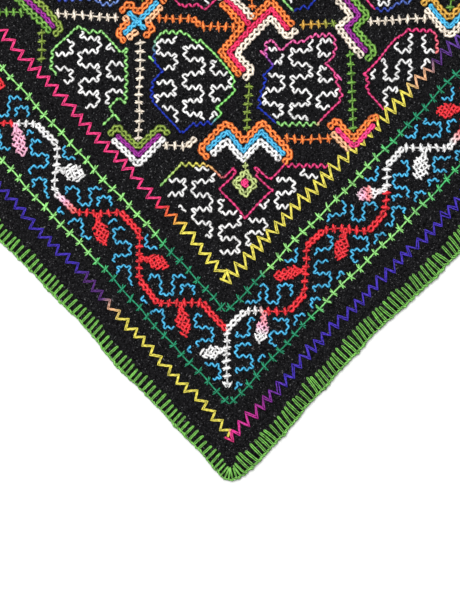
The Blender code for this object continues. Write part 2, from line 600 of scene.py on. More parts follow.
def yarn_nodes():
    """The node group that turns bare lines into yarn and keeps each yarn's own length and girth map."""
    tree = bpy.data.node_groups.new("yarn_from_lines", "GeometryNodeTree")
    for way in ("INPUT", "OUTPUT"):
        tree.interface.new_socket("Geometry", in_out=way, socket_type="NodeSocketGeometry")
    start = Signal(tree)

    def captured(geometry, value):
        """The geometry with this value kept on its points, and the value as it is kept."""
        made = start.node("GeometryNodeCaptureAttribute", {"domain": "POINT"}, {"Geometry": geometry})
        keeper = made.socket.node
        keeper.capture_items.new("FLOAT", "Value")
        tree.links.new(value.socket, keeper.inputs["Value"])
        return Signal(tree, keeper.outputs["Geometry"]), Signal(tree, keeper.outputs["Value"])

    bare = start.node("NodeGroupInput", {}, {})
    lines = start.node("GeometryNodeMeshToCurve", {}, {"Mesh": bare})
    level = start.node("GeometryNodeSetCurveNormal", {"mode": "Z_UP"}, {"Curve": lines})
    length = start.node("GeometryNodeSplineParameter", {}, {}, "Length")
    measured, along = captured(level, length)
    ring = start.node("GeometryNodeCurvePrimitiveCircle", {}, {"Resolution": YARN_SIDES, "Radius": 0.5})
    flattening = {"Rotation": (0, 0, math.pi / 2), "Scale": (YARN_FLATNESS, 1, 1)}
    flattened = start.node("GeometryNodeTransform", {}, {"Geometry": ring, **flattening})
    profile, around = captured(flattened, length.also("Factor"))
    thick = start.node(
        "GeometryNodeInputNamedAttribute", {"data_type": "FLOAT"}, {"Name": "thick"}, "Attribute"
    )
    yarn = start.node(
        "GeometryNodeCurveToMesh",
        {},
        {"Curve": measured, "Profile Curve": profile, "Scale": thick, "Fill Caps": True},
    )
    pair = start.node("ShaderNodeCombineXYZ", {}, {"X": around, "Y": along})
    kept = start.node(
        "GeometryNodeStoreNamedAttribute",
        {"data_type": "FLOAT2", "domain": "CORNER"},
        {"Geometry": yarn, "Name": "yarn_map", "Value": pair},
    )
    end = tree.nodes.new("NodeGroupOutput")
    tree.links.new(kept.socket, end.inputs[0])
    return tree


def in_scene(name, data):
    """A new object in the scene."""
    made = bpy.data.objects.new(name, data)
    bpy.context.scene.collection.objects.link(made)
    return made


def smooth_piece(name, mesh, material):
    """A piece of the cloth: this mesh, smooth and all of one finish."""
    mesh.materials.clear()
    mesh.materials.append(material)
    mesh.shade_smooth()
    return in_scene(name, mesh)


def stitched(name, strands, material, whole=False):
    """All these strands as one joined mesh of yarn: over the whole cloth, or a quarter mirrored to four."""
    quarters = QUARTERS[:1] if whole else QUARTERS
    parts = strands if whole else [part for one in strands for part in kept_parts(one)]
    laid = [(part, on_cloth(part.points, *flips)) for flips in quarters for part in parts]
    places = np.concatenate([places for _, places in laid])
    thick = np.concatenate([part.thick for part, _ in laid]) * MM
    colour = np.concatenate([part.colour for part, _ in laid])
    ends = np.cumsum([len(part.points) for part, _ in laid]) - 1
    joined = np.setdiff1d(np.arange(len(places)), ends)  # the points that a yarn goes on from
    lines = bpy.data.meshes.new(name + "_lines")
    lines.from_pydata(places, np.column_stack((joined, joined + 1)).tolist(), [])
    lines.attributes.new("thick", "FLOAT", "POINT").data.foreach_set("value", thick)
    shades = np.column_stack((colour, np.ones(len(colour))))
    lines.attributes.new("dye", "FLOAT_COLOR", "POINT").data.foreach_set("color", shades.ravel())
    bare = in_scene(name + "_lines", lines)
    bare.modifiers.new("yarn", "NODES").node_group = yarn_nodes()
    bpy.context.view_layer.update()
    mesh = bpy.data.meshes.new_from_object(bare.evaluated_get(bpy.context.evaluated_depsgraph_get()))
    mesh.name = name
    bpy.data.objects.remove(bare)
    piece = smooth_piece(name, mesh, material)
    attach(piece, "root")
    return piece


# ---------------------------------------------------------------- the borders' sizes and dyes, in mm

BORDERS = {
    # How far in from the left and right sides each border line lies.
    "outer zigzag": (17.2, 17.4),
    "outer fishbone": (26.8, 29.0),
    "inner fishbone": (57.0, 61.0),
    "inner zigzag": (69.0, 72.0),
}

# Space-dyed yarn: pairs of a distance from the corner and the dye there.
SPACE_DYED = {
    ("outer zigzag", "left"): (
        (0, "yellow"), (94, "yellow"), (101, "peach"), (107, "plum"), (121, "plum"), (129, "indigo"),
    ),
    ("outer zigzag", "right"): ((0, "hot pink"), (24, "magenta"), (44, "purple"), (60, "indigo")),
    ("outer fishbone", "left"): (
        (0, "deep green"), (113, "deep green"), (122, "mid green"), (132, "light green"),
    ),
    ("outer fishbone", "right"): (
        (0, "deep green"), (80, "deep green"), (88, "mid green"),
        (98, "light green"), (150, "light green"), (176, "mid green"),
    ),
    ("inner fishbone", "left"): (
        (0, "deep green"), (102, "deep green"), (109, "mid green"), (116, "light green"),
    ),
    ("inner fishbone", "right"): (
        (0, "deep green"), (82, "deep green"), (87, "light green"),
        (156, "light green"), (170, "mid green"), (185, "deep green"),
    ),
    ("inner zigzag", "left"): (
        (0, "yellow"), (103, "yellow"), (111, "orange"), (118, "red"), (125, "hot pink"),
    ),
    ("inner zigzag", "right"): (
        (0, "yellow"), (199, "yellow"), (206, "peach"), (212, "peach"), (219, "plum"), (250, "violet"),
    ),
}

# The vine climbs each side in straight runs joined by slanting steps.
VINE_RUN = 22.5
VINE_FIRST_SLANTS = {"left": 12.5, "right": 8.5}
VINE_SLANTS = {"left": 9.8, "right": 8.5}
VINE_ROOT = np.array((-2.5, 48.3))
VINE_STEM = 27.0
VINE_BARB = np.array(((3.0, 3.4), (1.5, 1.2), (0, -1.0)))  # from the root, on the right
STEM_LEAF = ((0, 18), (-13.5, 14))  # the base and the tip of the stem's one leaf, from the root
LEAF_LENGTH = 16.0
LEAF_WIDTH = 7.6
LEAF_DROOP = 3.5  # a leaf's tip leans this far aside
LEAF_NECK = 0.15  # the share of a leaf's length before its net
LEAF_STALK = 0.3  # the share that its stalk reaches along
VINE_STITCHES = {"thick": 1.5, "pitch": 3.6, "reach": 2.1}

# How the vine is dyed up each side, by the distance from the stem's top.
VINE_DYES = {
    "left": (
        (0, "red"), (112, "red"), (116, "salmon"), (121, "pale pink"),
        (127, "white"), (175, "white"), (176, "red"),
    ),
    "right": (
        (0, "white"), (21, "white"), (22, "red"), (125, "red"),
        (126, "white"), (176, "white"), (184, "red"),
    ),
}
BLUSHING = ((0, "salmon"), (5, "pale pink"), (9, "white"))
PINK_HEARTED = ((0, "white"), (4, "white"), (6, "salmon"), (9, "pale pink"), (15, "white"))
LEAF_DYES = {
    "left": ("red", "red", "red", "white", "pale pink", "red"),
    "right": (BLUSHING, "red", "red", PINK_HEARTED, "white", "red"),
}

# ---------------------------------------------------------------- the field's sizes, in mm

COLUMN_GAP = 52.0
COLUMN_SHIFT = 6.0  # the lattice stands a little to the right of the corner
FIRST_LEVEL = 164.5
LEVEL_GAP = 57.5
MIDDLE_GAP = (2 * (HALF_WAY - FIRST_LEVEL) - 4 * LEVEL_GAP) / 3  # the three gaps nearest the mid-line
LEVELS = tuple(np.cumsum((FIRST_LEVEL, *(LEVEL_GAP,) * 2, *(MIDDLE_GAP,) * 3, *(LEVEL_GAP,) * 2)))
TOP_LEVEL = len(LEVELS) - 1
FIELD_REACH = HALF_WAY - 100.0  # from the middle of the cloth to the field's corners
ROAD_MARGIN = 6.6  # between a connecting line and an island's outline
ROW_GAP = 3.0  # between the rows of chain in a band

COLUMNS = range(-6, 6)

# The filler is one small repeat: across, down, back, down.
KEY_ACROSS = 9.2
KEY_DOWN = 6.4
KEY_GAP = 13.8  # from one filler column to the next
KEY_SQUEEZE = 2.0  # the outermost columns may stand this far over the box, both together
SHORTEST_FILLER = 3.6

# ---------------------------------------------------------------- room and clearance

BATCH = 400  # how many of the others are measured at a time


def clearance(points, others):
    """How far each point is from the nearest of the others."""
    nearest = np.full(len(points), np.inf)
    for first in range(0, len(others), BATCH):
        gaps = np.linalg.norm(points[:, None] - others[None, first : first + BATCH], axis=2)
        nearest = np.minimum(nearest, gaps.min(axis=1))
    return nearest


def inside(points, polygon):
    """Which points lie within a polygon."""
    a, b = points.T
    crossings = np.zeros(len(points), int)
    for one, two in zip(polygon, np.roll(polygon, -1, axis=0)):
        spans = (one[1] > b) != (two[1] > b)
        rise = two[1] - one[1] if two[1] != one[1] else 1.0
        crossings += spans & (a < one[0] + (b - one[1]) * (two[0] - one[0]) / rise)
    return crossings % 2 == 1


def runs_of(line, kept, shortest):
    """The stretches of a finely divided line where kept is true."""
    stretches = [line[first:last] for first, last in true_stretches(kept) if last - first > 2]
    return [stretch for stretch in stretches if distances(stretch)[-1] > shortest]


def cut_by(polygon, normal, limit):
    """The part of a convex polygon where its points' distance along the normal is under the limit."""
    kept = []
    for one, two in zip(polygon, np.roll(polygon, -1, axis=0)):
        over_one = one @ normal - limit
        over_two = two @ normal - limit
        if over_one <= 0:
            kept.append(one)
        if over_one * over_two < 0:
            kept.append(one + (two - one) * over_one / (over_one - over_two))
    return np.array(kept)


def longer(corners, extra):
    """A line with both its ends drawn out."""
    drawn = corners.copy()
    for end, beyond in ((0, 1), (-1, -2)):
        way = corners[end] - corners[beyond]
        drawn[end] = corners[end] + way / np.linalg.norm(way) * extra
    return drawn


def even_columns(low, high):
    """Where the middles of filler columns stand across a box, centred in it."""
    count = max(1, int((high - low - KEY_ACROSS + KEY_SQUEEZE) // KEY_GAP) + 1)
    first = (low + high) / 2 - (count - 1) * KEY_GAP / 2
    return first + KEY_GAP * np.arange(-1, count + 1)


def filler_column(middle, low, top, sway, across=KEY_ACROSS, down=KEY_DOWN):
    """One column of the filler's repeat, from the top down."""
    corners = []
    for height in np.arange(top, low - down, -down):
        corners += [(middle - sway * across / 2, height), (middle + sway * across / 2, height)]
        sway = -sway
    return spread_along(np.array(corners))


def filler_lines(low, high, room, across):
    """Columns of filler over a box, or rows of it, kept only where room(points) is true."""
    low, high = np.array(low, float), np.array(high, float)
    if across:
        low, high = low[::-1], high[::-1]
    found = []
    for number, middle in enumerate(even_columns(low[0], high[0])):
        top = high[1] + chance.uniform(0, KEY_DOWN)
        line = filler_column(middle, low[1], top, 1 if number % 2 else -1)
        if across:
            line = line[:, ::-1]
        found += runs_of(line, room(line), SHORTEST_FILLER)
    return found


# ---------------------------------------------------------------- the borders


def border_corner(name, side):
    """How far along its side a border line starts, where it meets the one of the other side."""
    left, right = BORDERS[name]
    return right if side == "left" else left


def border_line(name, side):
    """A border line from its corner to the cloth's mid-line."""
    inset = BORDERS[name][0 if side == "left" else 1]
    return side_line(side, inset, border_corner(name, side), SIDE / 2 / MM)


def dyed_from(name, side):
    """A border line's space-dyed run, its distances counted from the line's own start."""
    start = border_corner(name, side)
    return tuple((max(0.0, place - start), shade) for place, shade in SPACE_DYED[name, side])


CORNER_TAIL = 2.4  # how far a border line of fishbone runs on past its corner
FISHBONE_PITCHES = {"left": 6.1, "right": 5.6}


def border_fishbones(name):
    """Both sides of a fishbone border, each with a short tail past the corner."""
    strands = []
    for side, pitch in FISHBONE_PITCHES.items():
        line = border_line(name, side)
        run = dyed_from(name, side)
        strands += fishbone(line, run, 1.2, pitch, reach=2.65, lean=-0.45, star=0.3)
        strands.append(strand(np.vstack((longer(line, CORNER_TAIL)[:1], line[:1])), 1.1, run))
    return strands


# Each side of a zigzag: its pitch, swing, thickness and lean, and how loosely the two yarns lie.
OUTER_ZIGZAG = (("left", 6.15, 3.9, 0.76, 0.6, 0.05), ("right", 5.45, 4.6, 0.88, 0.3, 0.26))
INNER_ZIGZAG = (("left", 6.15, 4.5, 0.80, 0.6, 0.08), ("right", 5.45, 5.4, 0.78, 0.3, 0.10))
ZIGZAG_TAILS = {"left": 0.0, "right": 3.4}  # how far each side's zigzag runs on past its corner


def border_zigzags(name, sizes):
    """Both sides of a zigzag border."""
    strands = []
    for side, pitch, swing, thick, lean, loose in sizes:
        line = longer(border_line(name, side), ZIGZAG_TAILS[side])
        strands += zigzag(line, dyed_from(name, side), pitch, swing, thick, lean, loose)
    return strands


# ---------------------------------------------------------------- the vine


def vine_side(side):
    """The vine's corners up one side from the stem's top."""
    way = WAYS[side]
    slant = VINE_FIRST_SLANTS[side]
    points = [VINE_ROOT + (0, VINE_STEM)]
    points.append(points[-1] + (way * slant, slant))
    slant = VINE_SLANTS[side]
    level = True
    while abs(points[-1][0]) + points[-1][1] < HALF_WAY + 10:
        points.append(points[-1] + ((way * VINE_RUN, 0) if level else (0, VINE_RUN)))
        points.append(points[-1] + (way * slant, slant))
        level = not level
    return np.array(points)


def vine_and_leaves():
    """The vine's strands, its leaves' strands, and points along the vine and down the leaves."""
    stem = np.array((VINE_ROOT, VINE_ROOT + (0, VINE_STEM)))
    vine = fishbone(stem, "white", **VINE_STITCHES)
    for way in WAYS.values():
        vine.append(strand(VINE_ROOT + VINE_BARB * (way, 1), (0.8, 1.2, 1.0), "white"))
    leaf_ends = [(VINE_ROOT + STEM_LEAF[0], VINE_ROOT + STEM_LEAF[1], "white")]
    vine_points = [spread_along(stem)]
    leaf_points = []
    for side, way in WAYS.items():
        corners = vine_side(side)
        vine_points.append(spread_along(corners))
        vine += spine(corners, VINE_DYES[side], **VINE_STITCHES)
        shades = LEAF_DYES[side]
        for number, (one, two) in enumerate(zip(corners[1::2], corners[2::2])):
            middle = (one + two) / 2
            lean, drop = (LEAF_DROOP, LEAF_LENGTH) if one[1] == two[1] else (LEAF_LENGTH, LEAF_DROOP)
            leaf_ends.append((middle, middle + (-way * lean, -drop), shades[min(number, len(shades) - 1)]))
    leaves = []
    for base, tip, shade in leaf_ends:
        start = base + (tip - base) * LEAF_NECK
        stalk = np.array((base, base + (tip - base) * LEAF_STALK))
        leaves += net(start, tip, shade, LEAF_WIDTH)
        leaves += chain(stalk, shade, width=3.3, thick=1.5, pitch=2.4)
        leaf_points.append(spread_along(np.array((start, tip))))
    return vine, leaves, np.concatenate(vine_points), np.concatenate(leaf_points)


BORDER_ACROSS = 8.0  # the filler's repeat is a little smaller in the border
BORDER_DOWN = 6.0
LONGEST_LENGTH = 38.0
SHORTEST_LENGTH = 5.5
BARE_CELL = 0.5
FILLER_TO_EDGE = 3.9  # all these are from a filler's line to the middle of another yarn
FILLER_TO_VINE = 3.3
FILLER_TO_LEAF = 4.4
FILLER_TO_FILLER = 2.75
FILLERS_START = 34.0  # over the corner
TRIED_EVERY = 2.0
# Where fillers are tried, from each place along the border: upright ones in a column over that
# place, and level ones in a row that runs from before it to past it.
TRIED_UP = (36, 96)
TRIED_ACROSS = (-60, 8)


class BareGround:
    """Which parts of a box of the cloth are still bare, reckoned in small square cells."""

    def __init__(self, low, high, is_bare):
        self.low = np.array(low, float)
        count = np.ceil((np.array(high) - self.low) / BARE_CELL).astype(int)
        middles = np.indices(count).reshape(2, -1).T * BARE_CELL + self.low
        self.bare = is_bare(middles).reshape(count)
        self.bare[[0, -1]] = False
        self.bare[:, [0, -1]] = False

    def cells(self, points):
        """The cell of each point; a point outside the box gets one on its rim, which is never bare."""
        found = np.round((points - self.low) / BARE_CELL).astype(int)
        return np.clip(found, 0, np.array(self.bare.shape) - 1)

    def take(self, points, reach):
        """Marks everything this near the points as taken."""
        span = np.arange(-int(reach / BARE_CELL), int(reach / BARE_CELL) + 1)
        steps = np.array(np.meshgrid(span, span)).reshape(2, -1).T
        steps = steps[np.hypot(*steps.T) * BARE_CELL <= reach]
        taken = self.cells((points[:, None] + steps * BARE_CELL).reshape(-1, 2))
        self.bare[tuple(taken.T)] = False

    def lengths(self, tried, reach):
        """Lengths of the tried lines that fit on bare ground, the longest laid first, each kept apart."""
        spots = [tuple(self.cells(line).T) for line in tried]
        most = int(LONGEST_LENGTH / BARE_CELL)
        waiting = [(-most, number) for number in range(len(tried))]
        laid = []
        while waiting:
            hoped, number = heapq.heappop(waiting)
            free = true_stretches(self.bare[spots[number]])
            first, last = max(free, key=lambda ends: ends[1] - ends[0], default=(0, 0))
            count = min(int(last - first), most)
            if count * BARE_CELL < SHORTEST_LENGTH:
                continue
            if count == -hoped:
                laid.append(tried[number][first : first + count])
                self.take(laid[-1], reach)
            heapq.heappush(waiting, (-count, number))
        return laid


def border_fillers(vine_points, leaf_points):
    """Cyan filler packed into all the ground that the vine and its leaves leave bare."""

    def between_fishbones(points):
        """Which points lie in the vine's strip."""
        a, b = points.T
        outer, inner = (
            np.where(a < 0, *BORDERS[name]) * math.sqrt(2) for name in ("outer fishbone", "inner fishbone")
        )
        climb = b - np.abs(a)
        between = (climb > outer + FILLER_TO_EDGE) & (climb < inner - FILLER_TO_EDGE)
        return between & (b + np.abs(a) < HALF_WAY + 6)

    strands = []
    for way in WAYS.values():
        far = (way * (HALF_WAY / 2 + 10), HALF_WAY - 20)
        near = (0.0, FILLERS_START)
        ground = BareGround(np.minimum(near, far), np.maximum(near, far), between_fishbones)
        ground.take(vine_points, FILLER_TO_VINE)
        ground.take(leaf_points, FILLER_TO_LEAF)
        tried = []
        for place in np.arange(0, HALF_WAY + TRIED_ACROSS[0], TRIED_EVERY):
            for shift in np.arange(0, 2 * BORDER_DOWN, TRIED_EVERY):
                sizes = (BORDER_ACROSS, BORDER_DOWN)
                low, high = place + TRIED_UP[0], place + TRIED_UP[1] + shift
                tried.append(filler_column(way * place, low, high, 1, *sizes))
                start, end = place + TRIED_ACROSS[0], place + TRIED_ACROSS[1] + shift
                tried.append(filler_column(low, start, end, 1, *sizes)[:, ::-1] * (way, 1))
        for line in ground.lengths(tried, FILLER_TO_FILLER):
            strands += swaying_line(line, "cyan", thick=1.2, sway=0.68, beat=3.2)
    return strands


# ---------------------------------------------------------------- the field: bands at the crossings

# Each band: one or more lines, each with where it starts from the crossing and how it goes.
BAND_FORMS = {
    "peaks": (((-19, -6), "RU9 RD9 RU9 RD11"),),
    "trough": (((-11, 6), "RD11 RU11"),),
    "bolt": (((-4, 13), "RD9 LD7 RD11"),),
    "antler": (((19, -1), "LU10 LD21 RD9"), ((-14, 14), "RD13")),
    "elbow": (((-9, 5), "RD9 RU11"),),
    "bar": (((-10, 10), "RD17"),),
    "cross": (((-8, -8), "RU16"), ((-6, 3), "RD8")),
}

# Each band's form, and the dyes of the row round its outside, of its heart and of the row inside.
BANDS = {
    (-1, 0): ("trough", "olive", "purple", "white"),
    (0, 0): ("peaks", "orange", "cyan", "white"),
    (1, 0): ("elbow", "orange", "hot pink", "peach"),
    (-2, 1): ("bar", "olive", "purple", "leaf green"),
    (-1, 1): ("cross", "orange", "cyan", "peach"),
    (0, 1): ("antler", "cream", "crimson", "orange"),
    (1, 1): ("bolt", "leaf green", "purple", "cream"),
    (2, 1): ("trough", "mustard", "cyan", "cream"),
}
OTHER_BANDS = tuple(BANDS.values())

# Dyes of the connecting lines that run level and upright from each crossing, to the right and up.
ROAD_DYES = {
    (-2, 0, "level"): "olive",
    (-1, 0, "level"): "cream",
    (0, 0, "level"): "orange",
    (-2, 1, "level"): "cream",
    (-1, 1, "level"): "orange",
    (0, 1, "level"): "ripening",
    (1, 1, "level"): "cream",
    (-2, 0, "upright"): "olive",
    (-1, 0, "upright"): "cream",
    (0, 0, "upright"): "olive",
    (1, 0, "upright"): "leaf green",
    (2, 0, "upright"): "pale olive",
}
OTHER_ROADS = ("cream", "olive", "orange", "white", "leaf green")

# Outline dyes, as shares of the way round from the island's lower left.
ISLAND_DYES = {
    (-2, 0): ((0, "light green"), (1, "light green")),
    (-1, 0): (
        (0, "blue"), (0.12, "blue"), (0.16, "bright green"),
        (0.62, "light green"), (0.70, "blue"), (1, "blue"),
    ),
    (0, 0): (
        (0, "light green"), (0.14, "light green"), (0.17, "hot pink"),
        (0.72, "pink"), (0.80, "blue"), (1, "blue"),
    ),
    (1, 0): ((0, "salmon"), (0.2, "hot pink"), (1, "hot pink")),
    (-1, 1): ((0, "hot pink"), (1, "hot pink")),
    (0, 1): ((0, "blue"), (0.8, "blue"), (0.9, "light green"), (1, "light green")),
}
OTHER_ISLANDS = (
    ((0, "hot pink"), (0.6, "pink"), (0.75, "light green"), (1, "bright green")),
    ((0, "bright green"), (0.45, "light green"), (0.55, "blue"), (1, "blue")),
    ((0, "blue"), (0.3, "sky"), (0.45, "pink"), (1, "hot pink")),
)

RIPENING = ((0, "mustard"), (8, "mustard"), (16, "olive"), (60, "olive"))


def pick(known, others, column, level):
    """What a table says for this place in the lattice, or one of the others in turn."""
    return known.get((column, level), others[(2 * column + 3 * level) % len(others)])


def from_mid_line(level, last=TOP_LEVEL):
    """The level that this one is like: those above the mid-line follow the ones below it."""
    return min(level, last - level)


def mirrored(level):
    """-1 for a level above the mid-line, which is stitched upside down, and 1 for one below it."""
    return 1 if from_mid_line(level) == level else -1


ASIDE_SLIP = 2.4  # how far the hand leaves a crossing off its even place
UPRIGHT_SLIP = 3.0


def crossing(column, level):
    """A crossing of the lattice, a little off its even place."""
    like = from_mid_line(level)
    aside = ASIDE_SLIP * math.sin(2.1 * column + 1.3 * like)
    up = mirrored(level) * UPRIGHT_SLIP * math.sin(1.7 * column - 2.3 * like + 0.6)
    return np.array((COLUMN_SHIFT + COLUMN_GAP * column, LEVELS[level])) + (aside, up)


def room_left(point):
    """How far a point is within the field's diamond, counted level or upright."""
    return FIELD_REACH - abs(point[0]) - abs(point[1] - HALF_WAY)


def lattice():
    """The crossings that lie in the field, by column and level."""
    places = [(column, level) for level in range(len(LEVELS)) for column in COLUMNS]
    return {place: crossing(*place) for place in places if room_left(crossing(*place)) > 2}


def band_lines(column, level, place):
    """The heart lines of the band at a crossing."""
    form = pick(BANDS, OTHER_BANDS, column, from_mid_line(level))[0]
    return [place + route(start, moves) * (1, mirrored(level)) for start, moves in BAND_FORMS[form]]


BAND_STEP = 0.45  # between the points of a band's rows
BAND_RIM = 2.5  # from a band's rows to the field's side
SHORTEST_ROW = 2.5


def band(lines, around, heart, within):
    """Three rows of chain side by side along each line, the first of them turning in across both ends."""
    rows, hearts = [], []
    for line in lines:
        others = [spread_along(other) for other in lines if other is not line]
        drawn = longer(line, ROW_GAP * 0.8)
        left = moved_aside(drawn, ROW_GAP)
        right = moved_aside(drawn, -ROW_GAP)
        outside = np.vstack((right[:1], left, right[-1:]))
        inner = moved_aside(line, -ROW_GAP)
        for row, shade in ((outside, around), (inner, within)):
            points = spread_along(row, BAND_STEP)
            free = within_field(points, BAND_RIM)
            if others:
                free &= clearance(points, np.concatenate(others)) > ROW_GAP * 0.85
            for stretch in runs_of(points, free, SHORTEST_ROW):
                rows += chain(stretch, shade)
        points = spread_along(line, BAND_STEP)
        for stretch in runs_of(points, within_field(points, BAND_RIM), SHORTEST_ROW):
            hearts += chain(stretch, heart, width=3.2)
    return rows, hearts


def within_field(points, margin):
    """Which points are inside the field by at least this much."""
    return room_left(points.T) > margin


ROAD_TO_BAND = 4.9
ROAD_RIM = 3.0  # from a connecting line to the field's side
SHORTEST_ROAD = 6.0
SHORTEST_RUN = 4.6  # a connecting line's end that is shorter than this is left off


def road(one, two, run, bands):
    """A connecting line, kept off the bands and within the field."""
    corners = road_corners(one, two, LEAST_JOG)
    line = spread_along(corners)
    free = (clearance(line, bands) > ROAD_TO_BAND) & within_field(line, ROAD_RIM)
    stretches = runs_of(line, free, SHORTEST_ROAD)
    if not stretches:
        return []
    kept = max(stretches, key=len)
    turns = corners[1:-1][clearance(corners[1:-1], kept) < 0.3]
    line = np.vstack((kept[:1], turns, kept[-1:]))
    long_enough = np.append(np.linalg.norm(np.diff(line, axis=0), axis=1) > SHORTEST_RUN, True)
    first = int(np.argmax(long_enough))
    last = len(line) - int(np.argmax(long_enough[:-1][::-1]))
    return spine(line[first:last], run, 1.35, reach=2.3)


# ---------------------------------------------------------------- the field: islands and their fillers

ISLAND_RIM = 5.5  # from an island's outline to the field's side
LONGEST_CUT = 26.0  # off a corner of an island
SMALLEST_ISLAND = 110.0  # in square mm
OUTLINE_TO_FILLER = 1.15

NOTCH = 4.6
NOTCHED_SIDE = 15  # a straight side longer than this gets a notch
STEP_IN = 3.6
STEPPED_SLANT = 12  # a slant longer than this gets a step
SIDE_BY_STEP = 9  # if the side after it is longer than this
SPUR = 4.2
SPUR_TO_BAND = 6.0
MOST_SPURS = 2


def notched(polygon, bands):
    """A polygon notched in its long straight sides and stepped in its long slants, and its spurs."""
    points = polygon.copy()
    corners, spurs = [], []
    for number, one in enumerate(points):
        two = points[(number + 1) % len(points)]
        corners.append(one)
        length = np.linalg.norm(two - one)
        way = (two - one) / length
        inward = turned_left(way)
        straight = min(abs(way)) < 0.05
        if straight and number and length > NOTCHED_SIDE:
            middle = (one + two) / 2 + way * chance.uniform(-0.12, 0.12) * length
            corners += [middle - way * NOTCH, middle + inward * NOTCH, middle + way * NOTCH]
            spur = np.array((corners[-3] - (way + inward) * SPUR * 0.7, corners[-3]))
        elif not straight and number + 2 < len(points) and length > STEPPED_SLANT:
            onward = points[number + 2] - two
            room = np.linalg.norm(onward)
            if room < SIDE_BY_STEP or min(abs(onward)) > 0.3 * room:
                continue
            turn = one + way * length * chance.uniform(0.36, 0.5)
            corners += [turn, turn + inward * STEP_IN]
            points[number + 1] = two + onward / room * STEP_IN * math.sqrt(2)
            spur = np.array((turn - inward * SPUR, turn))
        else:
            continue
        if clearance(even(spur, 0.5), bands).min() > SPUR_TO_BAND and len(spurs) < MOST_SPURS:
            spurs.append(spur)
    return np.array(corners), spurs


EARS = (6.5, 5.5, 4.5)  # how far an ear may be drawn out, the longest that fits
MOST_EARS = 2
EARED_SIDE = 8  # the sides on both hands of an ear are at least this long
EAR_TO_BAND = 6.2
EAR_RIM = 6


def takes_ear(onward, aslant):
    """Whether a straight side, this way on, meets a slant at an open enough corner for an ear."""
    return min(abs(onward)) <= 0.05 and min(abs(aslant)) >= 0.4 and onward @ aslant >= 0.4


def eared(polygon, bands):
    """An outline with its straight sides drawn out past a corner or two into pointed ears."""
    corners, ears = [polygon[0]], 0
    for before, corner, after in zip(polygon, polygon[1:], polygon[2:]):
        shaped = [corner]
        to_corner, to_after = corner - before, after - corner
        for order, onward, aslant in ((1, to_corner, to_after), (-1, -to_after, -to_corner)):
            lengths = np.linalg.norm(onward), np.linalg.norm(aslant)
            onward, aslant = onward / lengths[0], aslant / lengths[1]
            if min(lengths) < EARED_SIDE or not takes_ear(onward, aslant):
                continue
            for ear in EARS:
                tip = corner + onward * ear
                free = clearance(tip[None], bands)[0] > EAR_TO_BAND and room_left(tip) > EAR_RIM
                if free and ears < MOST_EARS and len(shaped) == 1:
                    shaped = [tip, corner + aslant * ear / math.sqrt(2)][::order]
                    ears += 1
        corners += shaped
    return np.array(corners + [polygon[-1]])


LEAST_JOG = 3.2  # a connecting line that has less than this to make up runs a little aslant


def road_corners(one, two, least=0.4):
    """A connecting line's corners: straight, one slanting jog, straight."""
    gap = two - one
    way = np.sign(gap)
    level = abs(gap[0]) > abs(gap[1])
    reach = min(abs(gap))
    straight = (max(abs(gap)) - reach) / 2
    turn = one + way * ((1, 0) if level else (0, 1)) * straight
    return np.array((one, turn, turn + way * reach, two)) if reach > least else np.array((one, two))


def shortened(line, first, last):
    """A line without its first and last few millimetres, its other corners kept."""
    along = distances(line)
    ends = [point_at(line, along, place) for place in (first, along[-1] - last)]
    kept = line[(along > first + 0.5) & (along < along[-1] - last - 0.5)]
    return np.vstack((ends[:1], kept, ends[1:]))


def island(corners_of_cell, bands):
    """An island: the cell's four connecting lines moved in, its corners cut clear of the bands."""
    ring = list(zip(corners_of_cell, corners_of_cell[1:] + corners_of_cell[:1]))
    sides = [moved_aside(road_corners(one, two), ROAD_MARGIN) for one, two in ring]
    cuts = []
    for number, side in enumerate(sides):
        before = sides[number - 1]
        for cut in np.arange(ROAD_MARGIN + 0.4, LONGEST_CUT, 1.0):
            slant = np.array((shortened(before, 0, cut)[-1], shortened(side, cut, 0)[0]))
            if clearance(even(slant, 0.5), bands).min() > ROAD_MARGIN + 0.6:
                break
        cuts.append(cut)
    polygon = np.vstack([
        shortened(side, cuts[number], cuts[(number + 1) % 4]) for number, side in enumerate(sides)
    ])
    for sign_a, sign_b in ((-1, -1), (-1, 1), (1, -1), (1, 1)):
        limit = FIELD_REACH - ISLAND_RIM + sign_b * HALF_WAY
        polygon = cut_by(polygon, np.array((sign_a, sign_b), float), limit)
        if len(polygon) < 3:
            return None
    return polygon


def area_of(polygon):
    """A polygon's area, in square mm."""
    a, b = polygon.T
    return abs(np.sum(a * np.roll(b, -1) - np.roll(a, -1) * b)) / 2


def open_outline(polygon):
    """The outline without its stretch along the field's side, or closed where it has none."""
    by_side = np.abs(room_left(polygon.T) - ISLAND_RIM) < 0.3
    on_side = by_side & np.roll(by_side, -1)
    if not on_side.any():
        return np.vstack((polygon, polygon[:1]))
    return np.roll(polygon, -(int(on_side.argmax()) + 1), axis=0)


def stretched(run, length):
    """A run whose places are shares of the way, in mm."""
    return tuple((share * length, shade) for share, shade in run)


def outlined(corners, run):
    """An outline in couched yarn, beaded where it runs aslant, with painted shade where it is tied down."""
    return swaying_line(corners, stretched(run, distances(corners)[-1]), thick=1.46, sway=0.84, beading_and_shade=0.34)


def filled(polygon, obstacles, across):
    """White filler inside a polygon, just off its outline."""

    def room(points):
        """Which points are inside and clear of the outline."""
        free = inside(points, polygon)
        if free.any():
            free[free] = clearance(points[free], obstacles) > OUTLINE_TO_FILLER
        return free

    strands = []
    for line in filler_lines(polygon.min(axis=0), polygon.max(axis=0), room, across):
        strands += swaying_line(line, "white", thick=1.30, sway=0.95)
    return strands


